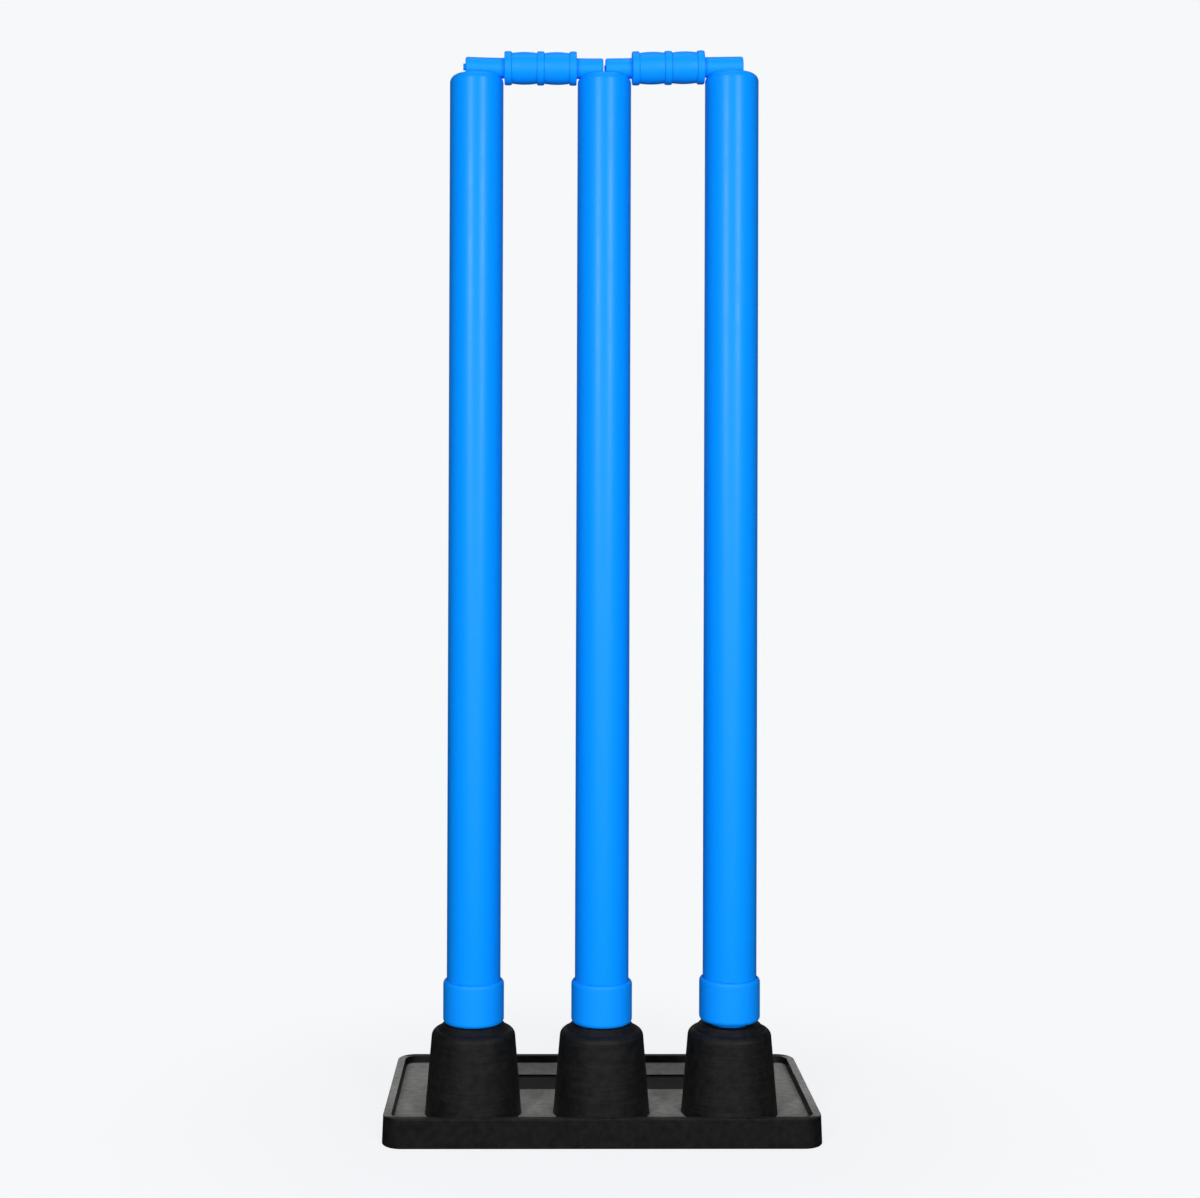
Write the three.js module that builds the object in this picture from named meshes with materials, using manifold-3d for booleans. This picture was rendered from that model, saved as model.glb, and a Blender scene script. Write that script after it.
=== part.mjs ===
// A set of cricket stumps that stands on a rubber base: three hollow plastic stumps, each plugged
// into a ferrule whose peg drops into a moulded socket, and two bails across the stump tops.
// Millimetres, +Z up. The origin is on the floor under the middle of the base, and -Y is the side
// that the bowler sees.
import * as THREE from "three";
import { mergeVertices } from "three/addons/utils/BufferGeometryUtils.js";
import Module from "manifold-3d";

const wasm = await Module();
wasm.setup();

// The wicket: where the stumps stand, and how far each one stops short of the bottom of its socket.
const stumpSpacing = 84;
const stumps = [
  { name: "stump_left", places: -1, rise: 0 },
  { name: "stump_middle", places: 0, rise: 0 },
  { name: "stump_right", places: 1, rise: 1.7 },
];

// Fits between the pieces.
const seatGap = 0.3;
const pegGap = 0.3;
const tubeGap = 0.3;
const grooveGap = 0.35;

// Stump tube: one hollow moulding, closed and rounded at the top, open at the foot.
const tubeRadius = 17.6;
const tubeWall = 2;
const tubeLength = 617.2;
const crownRadius = 5;
const crownThickness = 5.5;
const tubeFootChamfer = 0.5;

// Ferrule: the wide collar that shows, with a cup above for the tube and a hollow peg below.
const collarWall = 2;
const collarHeight = 28.1;
const collarTopRound = 1.9;
const collarFootRound = 3;
const collarFloor = 4;
const cupChamfer = 0.4;
const pegRadius = 13;
const pegTaper = 0.3;
const pegLength = 52;
const pegWall = 2.4;
const pegTipChamfer = 1.5;

// Sockets: blunt cones moulded with the base. The shoulder turns through an angle in radians, and
// ends at the groove round the lip.
const socketFootRadius = 31.5;
const socketTopRadius = 27.4;
const socketHeight = 54.9;
const socketShoulder = 5.2;
const socketFootFillet = 0.6;
const shoulderTurn = 1.31;
const lipWall = 6.9;
const lipHeight = 3.2;
const lipRound = 0.8;
const lipGrooveWidth = 0.3;
const lipGrooveDepth = 0.5;
const mouthChamfer = 0.4;
const boreFloorGap = 6;

// Base plate: a tray with a raised rim, and how far it runs past the sockets.
const plateThickness = 14.1;
const rimHeight = 4.9;
const rimWidth = 5.5;
const rimEdge = 0.5;
const plateBesideSockets = 26.5;
const plateBeforeSockets = 1.5;
const plateBehindSockets = 85.5;
const cornerRadius = 13;
const sideDraft = 0.7;
const trayDraft = 0.6;
const footChamfer = 0.8;

// The bare panel sunk in the tray behind the sockets.
const panelLength = 156;
const panelWidth = 34.2;
const panelMargin = 16.2;
const panelDepth = 1;
const panelCorner = 1.5;

// Bails: a turned barrel with three rings, and a spigot at each end.
const spigotRadius = 6.65;
const spigotEnd = 1.4;
const spigotSeat = 1.75;
const spigotOverhang = 7.4;
const ringRadius = 10.95;
const ringWidth = 4.9;
const ringRound = 1.1;
const barrelValleyRadius = 9.8;
const barrelBellyRadius = 10.5;
const barrelEndGap = 0.6;
const bailMeetGap = 1.3;
const gateRadius = 2.2;
const longGate = 1.5;
const shortGate = 0.7;

// How finely round shapes are divided, the reach of a cut past its surface, and the weld distance.
const roundSides = 40;
const bailSides = 24;
const cornerSteps = 6;
const crownSteps = 6;
const edgeSteps = 3;
const bellySteps = 6;
const overrun = 2;
const weld = 0.001;

const quarterTurn = Math.PI / 2;
const collarRadius = tubeRadius + tubeGap + collarWall;
const boreRadius = pegRadius + pegGap;
const boreDepth = pegLength + boreFloorGap;
const lipRadius = boreRadius + lipWall;
const baseHeight = plateThickness + rimHeight;
const socketTop = plateThickness + socketHeight;
const lipTop = socketTop + lipHeight;
const wicketLength = stumpSpacing * (stumps.length - 1);
const baseLength = wicketLength + 2 * (socketFootRadius + plateBesideSockets);
const baseWidth = plateBeforeSockets + 2 * socketFootRadius + plateBehindSockets;
const rowY = plateBeforeSockets + socketFootRadius - baseWidth / 2;
const tubeFoot = collarFloor + seatGap;
const bailAxis = tubeFoot + tubeLength - spigotSeat + seatGap + spigotRadius;

const stumpBlue = { color: 0x0a8cfa, roughness: 0.42, metalness: 0 };
const ferruleBlue = { color: 0x0f92fb, roughness: 0.55, metalness: 0 };
const bailBlue = { color: 0x1094fb, roughness: 0.5, metalness: 0 };
const rubberBlack = { color: 0x232324, roughness: 0.7, metalness: 0 };

// Points of an arc in a profile, from one angle to another.
function arc(centreX, centreY, radius, from, to, steps) {
  const points = [];
  for (let i = 0; i <= steps; i++) {
    const angle = from + ((to - from) * i) / steps;
    points.push(new THREE.Vector2(centreX + radius * Math.cos(angle), centreY + radius * Math.sin(angle)));
  }
  return points;
}

function point(x, y) {
  return new THREE.Vector2(x, y);
}

// A closed geometry as a solid: its vertices are welded and collapsed faces are dropped.
function solidOf(geometry) {
  const bare = new THREE.BufferGeometry();
  bare.setAttribute("position", geometry.getAttribute("position"));
  bare.setIndex(geometry.getIndex());
  const welded = mergeVertices(bare, weld);
  const corners = welded.getIndex().array;
  const faces = [];
  for (let i = 0; i < corners.length; i += 3) {
    const [a, b, c] = corners.slice(i, i + 3);
    if (a !== b && b !== c && c !== a) faces.push(a, b, c);
  }
  const vertProperties = welded.getAttribute("position").array;
  return new wasm.Manifold(new wasm.Mesh({ numProp: 3, vertProperties, triVerts: new Uint32Array(faces) }));
}

// A solid turned about Z from a profile of (radius, height) that has its material on the left.
function turned(profile, sides = roundSides) {
  const geometry = new THREE.LatheGeometry(profile, sides);
  geometry.rotateX(quarterTurn);
  return solidOf(geometry);
}

// A rounded rectangle centred on the origin.
function roundedRectangle(length, width, radius) {
  const x = length / 2 - radius;
  const y = width / 2 - radius;
  const outline = [
    ...arc(x, y, radius, 0, quarterTurn, cornerSteps),
    ...arc(-x, y, radius, quarterTurn, 2 * quarterTurn, cornerSteps),
    ...arc(-x, -y, radius, 2 * quarterTurn, 3 * quarterTurn, cornerSteps),
    ...arc(x, -y, radius, 3 * quarterTurn, 4 * quarterTurn, cornerSteps),
  ];
  return new THREE.Shape(outline);
}

// A solid with a rounded rectangle at each level, each one drawn in by its inset.
function lofted(length, width, radius, levels) {
  const rings = levels.map(({ z, inset }) => {
    const shape = roundedRectangle(length - 2 * inset, width - 2 * inset, radius - inset);
    return { z, outline: shape.getPoints() };
  });
  const count = rings[0].outline.length;
  const positions = rings.flatMap(({ z, outline }) => outline.flatMap((p) => [p.x, p.y, z]));
  const faces = [];
  for (let level = 1; level < rings.length; level++) {
    const below = (level - 1) * count;
    const above = level * count;
    for (let i = 0; i < count; i++) {
      const next = (i + 1) % count;
      faces.push(below + i, below + next, above + next, below + i, above + next, above + i);
    }
  }
  const top = (rings.length - 1) * count;
  for (const [a, b, c] of THREE.ShapeUtils.triangulateShape(rings[0].outline, [])) {
    faces.push(c, b, a, top + a, top + b, top + c);
  }
  const geometry = new THREE.BufferGeometry();
  geometry.setAttribute("position", new THREE.Float32BufferAttribute(positions, 3));
  geometry.setIndex(faces);
  return solidOf(geometry);
}

// A named mesh from a solid, with creased normals so that flat faces shade flat.
function meshOf(name, solid, finish) {
  const { numProp, numVert, triVerts, vertProperties } = solid.getMesh();
  const positions = new Float32Array(numVert * 3);
  for (let i = 0; i < numVert; i++) {
    positions.set(vertProperties.subarray(i * numProp, i * numProp + 3), i * 3);
  }
  const geometry = new THREE.BufferGeometry();
  geometry.setAttribute("position", new THREE.BufferAttribute(positions, 3));
  geometry.setIndex(new THREE.BufferAttribute(triVerts, 1));
  const faceted = geometry.toNonIndexed();
  faceted.computeVertexNormals();
  const mesh = new THREE.Mesh(faceted, new THREE.MeshStandardMaterial(finish));
  mesh.name = name;
  return mesh;
}

// One socket from just under the plate's surface to the top of its lip, without its bore.
function socketSolid() {
  const root = plateThickness - socketFootFillet;
  const shoulderRadius = socketTopRadius - socketShoulder;
  const shoulderEnd = shoulderRadius + socketShoulder * Math.cos(shoulderTurn);
  const lipFoot = point(shoulderEnd - lipGrooveWidth, socketTop - lipGrooveDepth);
  return turned([
    point(0, root),
    point(socketFootRadius + socketFootFillet, root),
    point(socketFootRadius + socketFootFillet, plateThickness),
    point(socketFootRadius, plateThickness + socketFootFillet),
    ...arc(shoulderRadius, socketTop - socketShoulder, socketShoulder, 0, shoulderTurn, crownSteps),
    lipFoot,
    ...arc(lipRadius - lipRound, lipTop - lipRound, lipRound, quarterTurn / 2, quarterTurn, edgeSteps),
    point(0, lipTop),
  ]);
}

// The bore that the peg drops into, with a small chamfer at its mouth.
function boreSolid() {
  const mouthRadius = boreRadius + mouthChamfer;
  return turned([
    point(0, lipTop - boreDepth),
    point(boreRadius, lipTop - boreDepth),
    point(boreRadius, lipTop - mouthChamfer),
    point(mouthRadius, lipTop),
    point(mouthRadius, lipTop + overrun),
    point(0, lipTop + overrun),
  ]);
}

// The base: a plate with a tray sunk inside its rim, a panel sunk in the tray, and the sockets.
function baseSolid() {
  const plate = lofted(baseLength, baseWidth, cornerRadius, [
    { z: 0, inset: footChamfer },
    { z: footChamfer, inset: 0 },
    { z: baseHeight - rimEdge, inset: sideDraft },
    { z: baseHeight, inset: sideDraft + rimEdge },
  ]);
  const wall = sideDraft + rimWidth;
  const rise = (trayDraft * (rimHeight + overrun)) / rimHeight;
  const tray = lofted(baseLength, baseWidth, cornerRadius, [
    { z: plateThickness, inset: wall + trayDraft },
    { z: baseHeight + overrun, inset: wall + trayDraft - rise },
  ]);
  const panelY = rowY + socketFootRadius + panelMargin + panelWidth / 2;
  const panel = lofted(panelLength, panelWidth, panelCorner, [
    { z: plateThickness - panelDepth, inset: 0 },
    { z: plateThickness + overrun, inset: 0 },
  ]).translate([0, panelY, 0]);
  let base = plate.subtract(tray).subtract(panel);
  const socket = socketSolid();
  const bore = boreSolid();
  for (const { places } of stumps) {
    base = base.add(socket.translate([places * stumpSpacing, rowY, 0]));
  }
  for (const { places } of stumps) {
    base = base.subtract(bore.translate([places * stumpSpacing, rowY, 0]));
  }
  return base;
}

// A ferrule whose collar stands on height zero, with the peg below and the cup above.
function ferruleSolid() {
  const hollowRadius = pegRadius - pegWall;
  const tipRadius = pegRadius - pegTaper;
  const cupRadius = collarRadius - collarWall;
  const footCentre = collarRadius - collarFootRound;
  const topCentre = collarRadius - collarTopRound;
  return turned([
    point(0, 0),
    point(hollowRadius, 0),
    point(hollowRadius, -pegLength),
    point(tipRadius - pegTipChamfer, -pegLength),
    point(tipRadius, pegTipChamfer - pegLength),
    point(pegRadius, 0),
    ...arc(footCentre, collarFootRound, collarFootRound, -quarterTurn, 0, edgeSteps),
    ...arc(topCentre, collarHeight - collarTopRound, collarTopRound, 0, quarterTurn, edgeSteps),
    point(cupRadius, collarHeight),
    point(cupRadius, collarFloor + cupChamfer),
    point(cupRadius - cupChamfer, collarFloor),
    point(0, collarFloor),
  ]);
}

// A stump tube that stands on height zero, with the bail groove cut along X in its crown.
function tubeSolid() {
  const innerRadius = tubeRadius - tubeWall;
  const innerCrown = crownRadius - tubeWall;
  const innerTop = tubeLength - crownThickness;
  const body = turned([
    point(0, innerTop),
    ...arc(innerRadius - innerCrown, innerTop - innerCrown, innerCrown, 0, quarterTurn, edgeSteps).reverse(),
    point(innerRadius, 0),
    point(tubeRadius - tubeFootChamfer, 0),
    point(tubeRadius, tubeFootChamfer),
    ...arc(tubeRadius - crownRadius, tubeLength - crownRadius, crownRadius, 0, quarterTurn, crownSteps),
    point(0, tubeLength),
  ]);
  const reach = 2 * (tubeRadius + overrun);
  const groove = new THREE.CylinderGeometry(spigotRadius + grooveGap, spigotRadius + grooveGap, reach, bailSides);
  groove.rotateZ(quarterTurn);
  groove.translate(0, 0, bailAxis - tubeFoot);
  return body.subtract(solidOf(groove));
}

// A ring of the barrel that starts at a place along the bail.
function ringProfile(start) {
  const end = start + ringWidth;
  const edge = ringRadius - ringRound;
  return [
    point(barrelValleyRadius, start),
    ...arc(edge, start + ringRound, ringRound, -quarterTurn, 0, edgeSteps - 1),
    ...arc(edge, end - ringRound, ringRound, 0, quarterTurn, edgeSteps - 1),
    point(barrelValleyRadius, end),
  ];
}

// The points between two rings, where the barrel swells and falls again.
function bellyProfile(start, end) {
  const points = [];
  for (let i = 1; i < bellySteps; i++) {
    const swell = Math.sin((Math.PI * i) / bellySteps);
    const radius = barrelValleyRadius + (barrelBellyRadius - barrelValleyRadius) * swell;
    points.push(point(radius, start + ((end - start) * i) / bellySteps));
  }
  return points;
}

// A bail along +X whose inner end is at the middle stump's axis, short of it by half the meeting gap.
function bailSolid(innerGate, outerGate) {
  const start = bailMeetGap / 2;
  const barrelStart = tubeRadius + barrelEndGap;
  const barrelEnd = stumpSpacing - barrelStart;
  const end = stumpSpacing + spigotOverhang;
  const belly = (barrelEnd - barrelStart - 3 * ringWidth) / 2;
  const middleRing = barrelStart + ringWidth + belly;
  const lastRing = middleRing + ringWidth + belly;
  const edge = spigotRadius - spigotEnd;
  const profile = [
    point(0, start - innerGate),
    ...(innerGate ? [point(gateRadius, start - innerGate), point(gateRadius, start)] : []),
    ...arc(edge, start + spigotEnd, spigotEnd, -quarterTurn, 0, edgeSteps - 1),
    point(spigotRadius, barrelStart),
    ...ringProfile(barrelStart),
    ...bellyProfile(barrelStart + ringWidth, middleRing),
    ...ringProfile(middleRing),
    ...bellyProfile(middleRing + ringWidth, lastRing),
    ...ringProfile(lastRing),
    point(spigotRadius, barrelEnd),
    ...arc(edge, end - spigotEnd, spigotEnd, 0, quarterTurn, edgeSteps - 1),
    ...(outerGate ? [point(gateRadius, end), point(gateRadius, end + outerGate)] : []),
    point(0, end + outerGate),
  ];
  const geometry = new THREE.LatheGeometry(profile, bailSides);
  geometry.rotateZ(-quarterTurn);
  return solidOf(geometry);
}

const wicket = new THREE.Group();
wicket.add(meshOf("rubber_base", baseSolid(), rubberBlack));

// The stumps, each a group that stands on the top of its socket's lip.
const row = new THREE.Group();
row.position.set(0, rowY, lipTop + seatGap);
wicket.add(row);
for (const { name, places, rise } of stumps) {
  const stump = new THREE.Group();
  stump.position.set(places * stumpSpacing, 0, rise);
  stump.add(meshOf(`${name}_ferrule`, ferruleSolid(), ferruleBlue));
  const tube = meshOf(`${name}_tube`, tubeSolid(), stumpBlue);
  tube.position.z = tubeFoot;
  stump.add(tube);
  row.add(stump);
}

// The bails, each from the middle stump to an outer one. A stump that stands higher tips its bail.
const [leftStump, middleStump, rightStump] = stumps;
const bails = [
  { name: "bail_left", outer: leftStump, innerGate: 0, outerGate: longGate },
  { name: "bail_right", outer: rightStump, innerGate: shortGate, outerGate: 0 },
];
for (const { name, outer, innerGate, outerGate } of bails) {
  const bail = meshOf(name, bailSolid(innerGate, outerGate), bailBlue);
  const side = new THREE.Group();
  side.position.set(0, 0, bailAxis + middleStump.rise);
  if (outer.places < 0) side.rotation.z = 2 * quarterTurn;
  bail.rotation.y = -Math.atan2(outer.rise - middleStump.rise, stumpSpacing);
  side.add(bail);
  row.add(side);
}

export default wicket;
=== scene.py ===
# %% [markdown]
# # Cricket stumps on a rubber base
# This is a practice wicket that stands by itself. Three hollow plastic stumps are plugged into
# ferrules, the ferrules' pegs drop into sockets moulded on a rubber base, and two turned bails lie
# across the tops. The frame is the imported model: it fixes where every piece is, how big it is and
# which body it moves with. Everything below makes finer pieces in the same places.

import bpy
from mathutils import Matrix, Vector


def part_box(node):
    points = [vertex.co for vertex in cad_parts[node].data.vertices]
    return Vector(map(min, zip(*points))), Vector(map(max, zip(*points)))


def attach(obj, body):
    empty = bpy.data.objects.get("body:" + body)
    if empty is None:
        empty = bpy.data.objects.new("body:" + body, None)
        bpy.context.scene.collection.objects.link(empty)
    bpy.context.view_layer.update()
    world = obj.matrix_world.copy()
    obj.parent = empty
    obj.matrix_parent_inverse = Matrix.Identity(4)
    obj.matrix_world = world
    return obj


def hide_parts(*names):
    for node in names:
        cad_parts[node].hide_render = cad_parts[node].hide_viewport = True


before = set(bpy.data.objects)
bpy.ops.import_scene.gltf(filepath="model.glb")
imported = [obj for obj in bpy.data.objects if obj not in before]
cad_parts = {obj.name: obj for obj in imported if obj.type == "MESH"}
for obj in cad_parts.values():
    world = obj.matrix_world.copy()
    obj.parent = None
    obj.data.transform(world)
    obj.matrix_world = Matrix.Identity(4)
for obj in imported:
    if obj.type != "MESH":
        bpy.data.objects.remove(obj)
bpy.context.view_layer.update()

# %% [markdown]
# ## Units and where things stand
# Blender works in metres, and a maker thinks in millimetres, so sizes are written in millimetres
# and turned to metres once, when a mesh is made. The overall sizes and places aren't typed again:
# they are read from the frame's boxes, so the pieces always land where the frame says.

# %% Units and measures of the frame
import math

import bpy
from mathutils import Matrix, Vector

MM = 0.001


def box_mm(node):
    """The lowest and highest corner of a node of the frame, in millimetres."""
    low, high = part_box(node)
    return low / MM, high / MM


STUMPS = ("stump_left", "stump_middle", "stump_right")
base_low, base_high = box_mm("rubber_base")
tube_low, tube_high = box_mm("stump_middle_tube")
peg_low, collar_high = box_mm("stump_middle_ferrule")
tube_radius = (tube_high.x - tube_low.x) / 2
row_y = (tube_low.y + tube_high.y) / 2
spacing = (sum(box_mm("stump_right_tube"), Vector()) / 2).x
print(f"stumps {2 * tube_radius:.1f} mm thick, {spacing:.1f} mm apart, top at {tube_high.z:.1f} mm")

# %% [markdown]
# ## The camera
# The photograph was taken from a little over a metre away, at about half the stumps' height, and
# slightly to their left. Its place was found by fitting a camera to the edges of the base, the
# collars and the stumps. Lens shift keeps the stumps upright, as a view camera does, and a turn and
# a tilt of less than a degree do the rest.

# %% Camera
PICTURE_WIDTH = 1200
FOCAL_PIXELS = 1805.1
AXIS_LEFT_PIXELS = 39.9
AXIS_UP_PIXELS = 66
CAMERA_DISTANCE = 1186.6
CAMERA_SIDE = -41.9
CAMERA_HEIGHT = 385.5
PITCH_DEGREES = -0.38
YAW_DEGREES = -0.66
ROLL_DEGREES = 0.183

lens = bpy.data.cameras.new("camera")
lens.lens = lens.sensor_width * FOCAL_PIXELS / PICTURE_WIDTH
lens.shift_x = AXIS_LEFT_PIXELS / PICTURE_WIDTH
lens.shift_y = -AXIS_UP_PIXELS / PICTURE_WIDTH
camera = bpy.data.objects.new("camera", lens)
aim = (
    Matrix.Rotation(math.radians(YAW_DEGREES), 4, "Z")
    @ Matrix.Rotation(math.radians(90 - PITCH_DEGREES), 4, "X")
    @ Matrix.Rotation(math.radians(ROLL_DEGREES), 4, "Z")
)
camera_place = Vector((CAMERA_SIDE, row_y - CAMERA_DISTANCE, CAMERA_HEIGHT)) * MM
camera.matrix_world = Matrix.Translation(camera_place) @ aim
bpy.context.scene.collection.objects.link(camera)
bpy.context.scene.camera = camera
print(f"lens {lens.lens:.1f} mm")

# %% [markdown]
# ## Three helpers for materials
# Colours are easiest to compare with a photograph as sRGB hex codes, and shaders want linear
# numbers, so one function converts them. A second small function adds a node: it sets the node's
# properties, and fills its sockets with values or with links from earlier nodes. The third starts
# a material with no nodes.

# %% Colour and node helpers
def linear(code):
    """The linear RGBA of an sRGB hex colour such as "0A8CFA", by the sRGB standard's formula."""
    shares = [int(code[i : i + 2], 16) / 255 for i in (0, 2, 4)]
    return [s / 12.92 if s <= 0.04045 else ((s + 0.055) / 1.055) ** 2.4 for s in shares] + [1]


def add(tree, kind, inputs=None, **settings):
    """Adds one node. Inputs are values, sockets, or nodes whose first output is meant."""
    node = tree.nodes.new(kind)
    for name, value in settings.items():
        setattr(node, name, value)
    for name, value in (inputs or {}).items():
        if isinstance(value, bpy.types.Node):
            value = value.outputs[0]
        if isinstance(value, bpy.types.NodeSocket):
            tree.links.new(value, node.inputs[name])
        else:
            node.inputs[name].default_value = value
    return node


def new_material(name):
    """An empty node material and its tree."""
    material = bpy.data.materials.new(name)
    material.use_nodes = True
    material.node_tree.nodes.clear()
    return material, material.node_tree


# %% [markdown]
# ## Moulded polypropylene, soft gloss: the stumps
# The stumps are polypropylene, coloured right through and moulded against a polished tool. That
# gives an even, saturated blue under a soft gloss: highlights are broad bands with blurred edges,
# slightly streaked up and down the stump, where the steel was polished lengthwise. Under the
# streaks lies the faint ripple that thick mouldings shrink into. The colour varies by a per cent
# or two, and fine handling marks make the gloss uneven. Patterns use Object coordinates in metres,
# so a noise's scale is a metre over the size of its features. A noise hardly ever leaves the
# stretch from 0.3 to 0.7, so that stretch is spread between two roughnesses.

# %% Blue plastic
STREAK_WIDTH = 2.2
STREAK_LENGTH = 260
RIPPLE_SIZE = 38
RIPPLE_DEPTH = 0.05
PEEL_SIZE = 1.4
PEEL_DEPTH = 0.006
HANDLING_SIZE = 14
HANDLING_FINENESS = 0.65
PLASTIC_IOR = 1.49
METRE = 1000
NOISE_LOW = 0.3
NOISE_HIGH = 0.7


def blue_plastic(name, colour, shade, gloss, dull, streak_depth, specular):
    """Coloured polypropylene: its colour and a shade of it, two roughnesses, and streaks in mm."""
    material, tree = new_material(name)
    place = add(tree, "ShaderNodeTexCoord").outputs["Object"]
    ripple = add(tree, "ShaderNodeTexNoise", {0: place, "Scale": METRE / RIPPLE_SIZE, "Detail": 1})
    fine = {"Scale": METRE / HANDLING_SIZE, "Detail": 5, "Roughness": HANDLING_FINENESS}
    handling = add(tree, "ShaderNodeTexNoise", {0: place, **fine})
    stretch = (METRE / STREAK_WIDTH, METRE / STREAK_WIDTH, METRE / STREAK_LENGTH)
    stretched = add(tree, "ShaderNodeMapping", {0: place, "Scale": stretch})
    streaks = add(tree, "ShaderNodeTexNoise", {0: stretched, "Scale": 1, "Detail": 2})
    peel = add(tree, "ShaderNodeTexNoise", {0: place, "Scale": METRE / PEEL_SIZE, "Detail": 1})
    tone = add(
        tree,
        "ShaderNodeMix",
        {"Factor": handling, "A": linear(colour), "B": linear(shade)},
        data_type="RGBA",
    )
    roughness = add(
        tree,
        "ShaderNodeMapRange",
        {0: handling, "From Min": NOISE_LOW, "From Max": NOISE_HIGH, "To Min": gloss, "To Max": dull},
    )
    relief = {"Strength": 1, "Distance": RIPPLE_DEPTH * MM, "Height": ripple}
    surface = add(tree, "ShaderNodeBump", relief)
    for pattern, depth in ((streaks, streak_depth), (peel, PEEL_DEPTH)):
        relief = {"Strength": 1, "Distance": depth * MM, "Height": pattern, "Normal": surface}
        surface = add(tree, "ShaderNodeBump", relief)
    shader = add(
        tree,
        "ShaderNodeBsdfPrincipled",
        {
            "Base Color": tone.outputs["Result"],
            "Roughness": roughness,
            "IOR": PLASTIC_IOR,
            "Specular IOR Level": specular,
            "Normal": surface,
        },
    )
    add(tree, "ShaderNodeOutputMaterial", {"Surface": shader})
    return material


stump_plastic = blue_plastic(
    "moulded polypropylene, soft gloss",
    colour="038CFC",
    shade="0189F8",
    gloss=0.3,
    dull=0.38,
    streak_depth=0.012,
    specular=0.19,
)
print(stump_plastic.name, "has", len(stump_plastic.node_tree.nodes), "nodes")

# %% [markdown]
# ## The same plastic with a satin skin: ferrules and bails
# Ferrules and bails are smaller mouldings from spark-eroded tools, which leave a fine even grain,
# so their highlights spread until they can hardly be seen. They share the stumps' recipe with
# more roughness and hardly any streaks. The bails are a hair lighter than the stumps.

# %% Satin plastics
SATIN_BLUE = {"colour": "048EFD", "shade": "038BF9", "specular": 0.2}

ferrule_plastic = blue_plastic(
    "moulded polypropylene, satin", gloss=0.46, dull=0.55, streak_depth=0.003, **SATIN_BLUE
)
bail_plastic = blue_plastic(
    "moulded polypropylene, fine satin", gloss=0.42, dull=0.5, streak_depth=0.002, **SATIN_BLUE
)
print("satin:", ferrule_plastic.name, "and", bail_plastic.name)

# %% [markdown]
# ## Vulcanised rubber: the base
# The base is pressed from black rubber, cheap and heavily filled, so it is matt, very dark and
# never quite even. Three things give it away. The tray carries a grey layer that is part dust and
# part painted sheen: its pale colour stands in for the light the tray reflects at a low angle, and
# it also weights a faint sheen. The painted sheen is weaker towards the front, the layer thins out
# on the front and back rims, and there is hardly any in the smooth sunk panel. The sockets carry
# fine level scuffs from turning the mould and from stumps being pushed in. And everything has a
# fine grit, which in the real moulding is near a tenth of a millimetre, and is drawn coarser so
# that it shows. Where the dust and painted sheen lie is worked out from how far a face looks up and
# from its place.

# %% Rubber, its sizes and shares
GRIT_SIZE = 1.1
GRIT_DEPTH = 0.06
GRIT_FINENESS = 0.6
MOTTLE_SIZE = 5
MARK_FINENESS = 0.7
CLOUD_SIZE = 45
SCUFF_HEIGHT = 1.1
SCUFF_LENGTH = 30
SCUFF_DEPTH = 0.09
SCUFF_FLOOR = 0.42
RUBBED_FROM = 0.78
RUBBED_TO = 1.24
RELIEF_STRENGTH = 0.8

BED_HEIGHT = 13.3
DUST_HEIGHT = 13.9
ABOVE_RIM = 19.4
# The tray's pale layer thins out on the front and back rims, between these distances off the middle,
# down to a small share.
RIM_BAND_FROM = 67
RIM_BAND_TO = 69.5
RIM_BAND_SHARE = 0.08
# Painted sheen: the tray's pale layer is weaker at the front, so the tray is lighter towards the back.
FRONT_PAINTED_SHEEN_SHARE = 0.5
PAINTED_SHEEN_FULL_FROM = 25
FACES_UP_FROM = 0.55
FACES_UP_FULLY = 0.95
DUST_THIN_FROM = 0.35
DUST_THICK_FROM = 0.65
THIN_DUST = 0.62

CLEAN_RUBBER = "040404"
RUBBED_RUBBER = "191919"
# Colour of the tray's layer, part dust and part painted sheen: it is paler than dust alone, standing in
# for the light the tray reflects at a low angle.
DUST_AND_PAINTED_SHEEN = "838380"
DUST_SHEEN = "B4B4B0"
DUST_SHEEN_ROUGHNESS = 0.5
RUBBER_IOR = 1.52
RUBBER_SPECULAR = 0.3
RUBBER_GLOSS = 0.5
RUBBER_DULL = 0.62
print(f"rubber: grit {GRIT_SIZE} mm, scuffs {SCUFF_HEIGHT} mm tall, dust above {DUST_HEIGHT} mm")


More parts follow.
